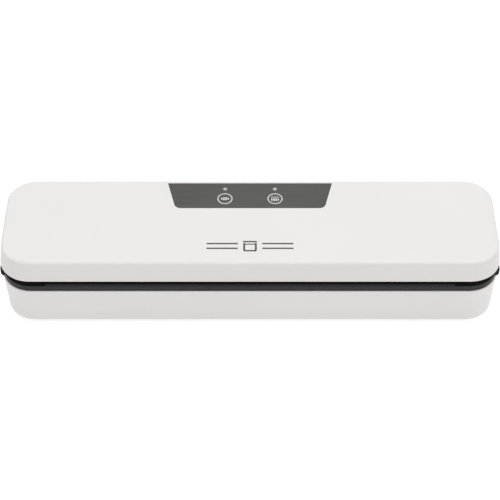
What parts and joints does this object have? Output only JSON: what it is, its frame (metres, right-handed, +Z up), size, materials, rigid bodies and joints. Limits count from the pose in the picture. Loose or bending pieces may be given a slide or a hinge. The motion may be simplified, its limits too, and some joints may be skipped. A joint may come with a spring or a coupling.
{
  "type": "vacuum sealer",
  "caption": "Long low countertop bag vacuum sealer with a rear-hinged white lid, flush dark key panel, dark sealing deck and sprung end release buttons.",
  "frame": {"origin": "on the table, below the middle of the body's box", "axes": "+X along the length to the right, -Y to the front where the bag goes in, +Z up"},
  "size_m": [0.4008, 0.0988, 0.0705],
  "materials": {
    "shell_white": "fine satin moulded plastic",
    "lid_white": "fine satin moulded plastic",
    "deck_plastic": "dark grey moulded plastic, fine texture",
    "tray_plastic": "smoked grey moulded plastic",
    "dark_plastic": "dark grey moulded plastic",
    "button_black": "black moulded plastic",
    "panel_film": "dark grey satin panel with fine brushing",
    "key_film": "dark grey satin key with light print",
    "gasket_foam": "closed-cell foam rubber",
    "silicone": "grey silicone rubber",
    "black_rubber": "black rubber",
    "hose_rubber": "translucent grey silicone hose",
    "bar_phenolic": "dark brown phenolic bar",
    "element_wire": "flat resistance strip",
    "seal_fabric": "brown non-stick coated glass cloth",
    "plated_steel": "zinc-plated steel",
    "bright_steel": "bright drawn steel",
    "brass": "plated brass",
    "board_green": "green circuit board",
    "core_steel": "varnished core plates and taped winding",
    "relay_blue": "blue component case",
    "can_sleeve": "dark sleeve with metal top",
    "connector_nylon": "off-white nylon",
    "pump_nylon": "off-white moulded nylon",
    "coil_copper": "enamelled copper winding",
    "wire_sleeve": "red wire insulation",
    "harness_sleeve": "black sleeved harness",
    "lamp_lens": "clear diffusing lens",
    "inlet_plastic": "black moulded plastic"
  },
  "bodies": {
    "base": {"base_shell": "shell_white", "deck": "deck_plastic", "channel_pan": "deck_plastic", "drip_tray": "tray_plastic", "lower_gasket": "gasket_foam", "heater_bar": "bar_phenolic", "heating_element": "element_wire", "seal_tape": "seal_fabric", "heater_terminals": "brass", "hinge_pins": "bright_steel", "feet": "black_rubber", "base_screws": "plated_steel", "latch_guides": "dark_plastic", "inlet_housing": "inlet_plastic", "inlet_pins": "brass", "power_board": "board_green", "transformer": "core_steel", "relay": "relay_blue", "capacitors": "can_sleeve", "board_connectors": "connector_nylon", "pump_motor": "plated_steel", "pump_bracket": "plated_steel", "pump_crankcase": "pump_nylon", "pump_diaphragm": "black_rubber", "pump_cover": "pump_nylon", "vacuum_ports": "dark_plastic", "vacuum_hose": "hose_rubber", "exhaust_muffler": "dark_plastic", "valve_body": "pump_nylon", "valve_frame": "plated_steel", "valve_coil": "coil_copper", "lid_switch": "inlet_plastic", "wiring": "wire_sleeve", "left_latch_spring": "bright_steel", "right_latch_spring": "bright_steel"},
    "lid": {"lid_shell": "lid_white", "lid_liner": "deck_plastic", "control_panel": "panel_film", "control_board": "board_green", "tact_switches": "inlet_plastic", "indicator_leds": "lamp_lens", "light_guides": "lamp_lens", "upper_gasket": "gasket_foam", "press_strip": "silicone", "press_strip_carrier": "dark_plastic", "latch_hooks": "dark_plastic", "lid_screws": "plated_steel", "board_screws": "plated_steel", "lid_harness": "harness_sleeve"},
    "left_release": {"left_release_button": "button_black", "left_latch_catch": "dark_plastic"},
    "right_release": {"right_release_button": "button_black", "right_latch_catch": "dark_plastic"},
    "seal_key": {"seal_key": "key_film"},
    "vac_seal_key": {"vac_seal_key": "key_film"},
    "pump_rotor": {"pump_rotor": "bright_steel"},
    "valve_plunger": {"valve_plunger": "bright_steel"}
  },
  "joints": [
    {"name": "lid_hinge", "type": "hinge", "parent": "base", "child": "lid", "pos_m": [0, 0.0459, 0.045], "axis": [-1, 0, 0], "range_deg": [0, 72]},
    {"name": "left_release_slide", "type": "slide", "parent": "base", "child": "left_release", "axis": [1, 0, 0], "range_m": [0, 0.0025], "stiffness_N_per_m": 400, "deforming": ["left_latch_spring"]},
    {"name": "right_release_slide", "type": "slide", "parent": "base", "child": "right_release", "axis": [-1, 0, 0], "range_m": [0, 0.0025], "stiffness_N_per_m": 400, "deforming": ["right_latch_spring"]},
    {"name": "seal_key_press", "type": "slide", "parent": "lid", "child": "seal_key", "axis": [0, 0, -1], "range_m": [0, 0.0006], "stiffness_N_per_m": 800},
    {"name": "vac_seal_key_press", "type": "slide", "parent": "lid", "child": "vac_seal_key", "axis": [0, 0, -1], "range_m": [0, 0.0006], "stiffness_N_per_m": 800},
    {"name": "pump_spin", "type": "hinge", "parent": "base", "child": "pump_rotor", "pos_m": [-0.06, 0.026, 0.018], "axis": [1, 0, 0], "continuous": true},
    {"name": "valve_lift", "type": "slide", "parent": "base", "child": "valve_plunger", "axis": [0, 0, 1], "range_m": [0, 0.0016], "stiffness_N_per_m": 300}
  ]
}
